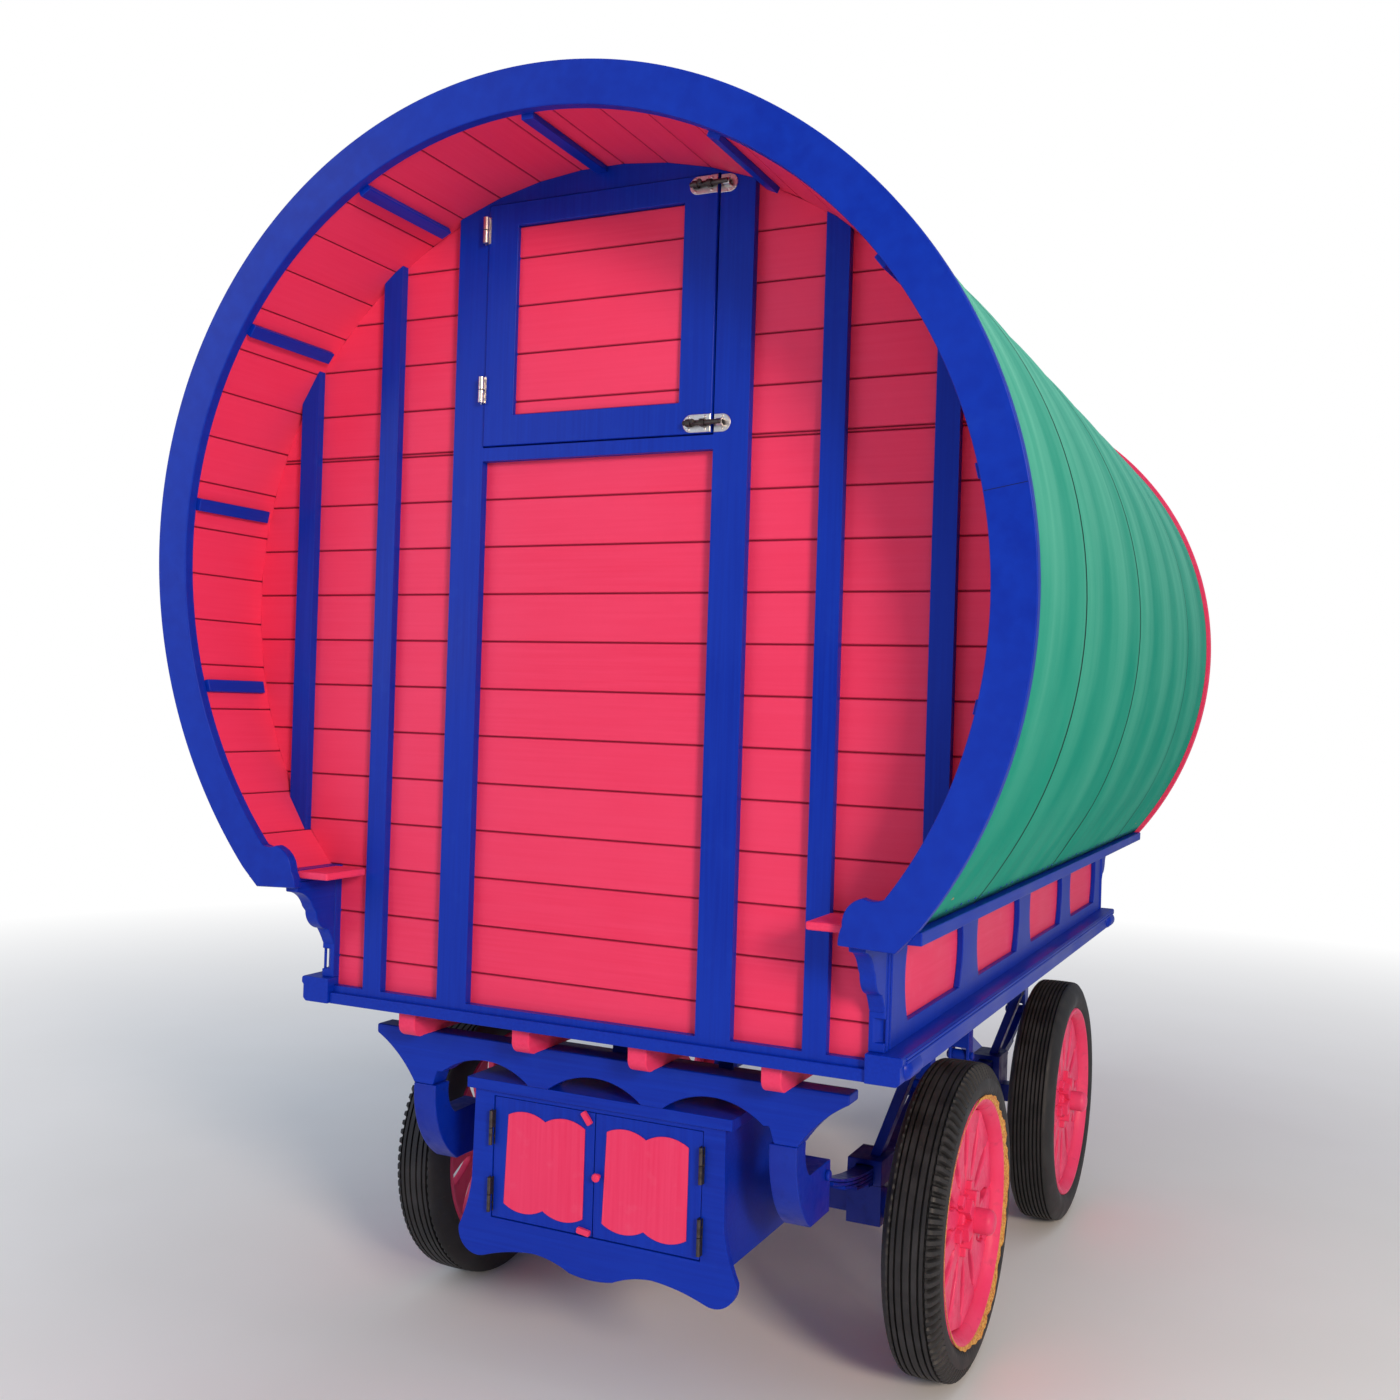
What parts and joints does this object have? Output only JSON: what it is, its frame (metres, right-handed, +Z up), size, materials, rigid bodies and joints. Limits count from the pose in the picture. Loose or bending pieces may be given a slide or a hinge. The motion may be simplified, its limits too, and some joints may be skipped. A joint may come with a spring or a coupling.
{
  "type": "bow-top living wagon",
  "caption": "Round-roofed timber living wagon with canvas cover, arched porches, shuttered rear window, pan box, sprung axles, steered fore-carriage and drawbar.",
  "frame": {"origin": "on the ground under the middle of the overall length, on the centre plane", "axes": "+X is the wagon's right side, +Y points to the drawbar, +Z is up"},
  "size_m": [2.1486, 4.2641, 2.9732],
  "materials": {
    "pink_paint": "painted softwood boards, satin",
    "pink_wheel_paint": "painted, satin",
    "blue_paint": "painted joinery, satin",
    "blue_iron_paint": "painted ironwork, satin",
    "bare_wood": "bare softwood",
    "canvas": "painted canvas",
    "steel": "dull bright steel",
    "tyre": "black rubber"
  },
  "bodies": {
    "body": {"cover": "canvas", "floor": "bare_wood", "floor_bearers": "pink_paint", "front_arch": "blue_paint", "front_wall_boards": "pink_paint", "front_wall_frame": "blue_paint", "hinge_plates": "steel", "ledges": "blue_paint", "pan_box": "blue_paint", "porch_battens": "blue_paint", "porch_shelves": "pink_paint", "rear_arch": "blue_paint", "rear_axle": "blue_iron_paint", "rear_bolster": "blue_paint", "rear_irons": "blue_iron_paint", "rear_springs": "blue_iron_paint", "rear_wall_boards": "pink_paint", "rear_wall_frame": "blue_paint", "roof_hoops": "bare_wood", "roof_lining": "pink_paint", "side_frames": "blue_paint", "side_panels": "pink_paint", "sill_mouldings": "blue_paint", "turntable_upper": "blue_paint"},
    "fore_carriage": {"fore_carriage": "blue_paint", "front_irons": "blue_iron_paint", "front_axle": "blue_iron_paint", "front_springs": "blue_iron_paint"},
    "drawbar": {"drawbar": "blue_paint"},
    "rear_shutter": {"shutter_frame": "blue_paint", "shutter_panel": "pink_paint", "shutter_ironwork": "steel"},
    "front_door_lower": {"front_door_lower": "blue_paint"},
    "front_door_upper": {"front_door_upper": "blue_paint"},
    "pan_door_left": {"pan_door_left": "blue_paint"},
    "pan_door_right": {"pan_door_right": "blue_paint"},
    "wheel_rear_left": {"wheel_rear_left": "pink_wheel_paint", "tyre_rear_left": "tyre"},
    "wheel_rear_right": {"wheel_rear_right": "pink_wheel_paint", "tyre_rear_right": "tyre"},
    "wheel_front_left": {"wheel_front_left": "pink_wheel_paint", "tyre_front_left": "tyre"},
    "wheel_front_right": {"wheel_front_right": "pink_wheel_paint", "tyre_front_right": "tyre"}
  },
  "joints": [
    {"name": "steering", "type": "hinge", "parent": "body", "child": "fore_carriage", "pos_m": [0, 0.22687, 0.777], "axis": [0, 0, 1], "range_deg": [-35, 35]},
    {"name": "drawbar_lift", "type": "hinge", "parent": "fore_carriage", "child": "drawbar", "pos_m": [0, 0.72687, 0.655], "axis": [1, 0, 0], "range_deg": [0, 60]},
    {"name": "shutter_swing", "type": "hinge", "parent": "body", "child": "rear_shutter", "pos_m": [-0.302, -1.79113, 2.54754], "axis": [0, 0, -1], "range_deg": [0, 90]},
    {"name": "door_lower_swing", "type": "hinge", "parent": "body", "child": "front_door_lower", "pos_m": [-0.302, 0.83687, 1.45], "axis": [0, 0, 1], "range_deg": [0, 90]},
    {"name": "door_upper_swing", "type": "hinge", "parent": "body", "child": "front_door_upper", "pos_m": [-0.302, 0.83687, 2.37], "axis": [0, 0, 1], "range_deg": [0, 90]},
    {"name": "pan_door_left_swing", "type": "hinge", "parent": "body", "child": "pan_door_left", "pos_m": [-0.282, -1.68413, 0.55], "axis": [0, 0, -1], "range_deg": [0, 100]},
    {"name": "pan_door_right_swing", "type": "hinge", "parent": "body", "child": "pan_door_right", "pos_m": [0.282, -1.68413, 0.55], "axis": [0, 0, 1], "range_deg": [0, 100]},
    {"name": "wheel_rear_left_spin", "type": "hinge", "parent": "body", "child": "wheel_rear_left", "pos_m": [-0.692, -1.04313, 0.387], "axis": [1, 0, 0], "continuous": true},
    {"name": "wheel_rear_right_spin", "type": "hinge", "parent": "body", "child": "wheel_rear_right", "pos_m": [0.692, -1.04313, 0.387], "axis": [1, 0, 0], "continuous": true},
    {"name": "wheel_front_left_spin", "type": "hinge", "parent": "fore_carriage", "child": "wheel_front_left", "pos_m": [-0.692, 0.22687, 0.387], "axis": [1, 0, 0], "continuous": true},
    {"name": "wheel_front_right_spin", "type": "hinge", "parent": "fore_carriage", "child": "wheel_front_right", "pos_m": [0.692, 0.22687, 0.387], "axis": [1, 0, 0], "continuous": true}
  ]
}
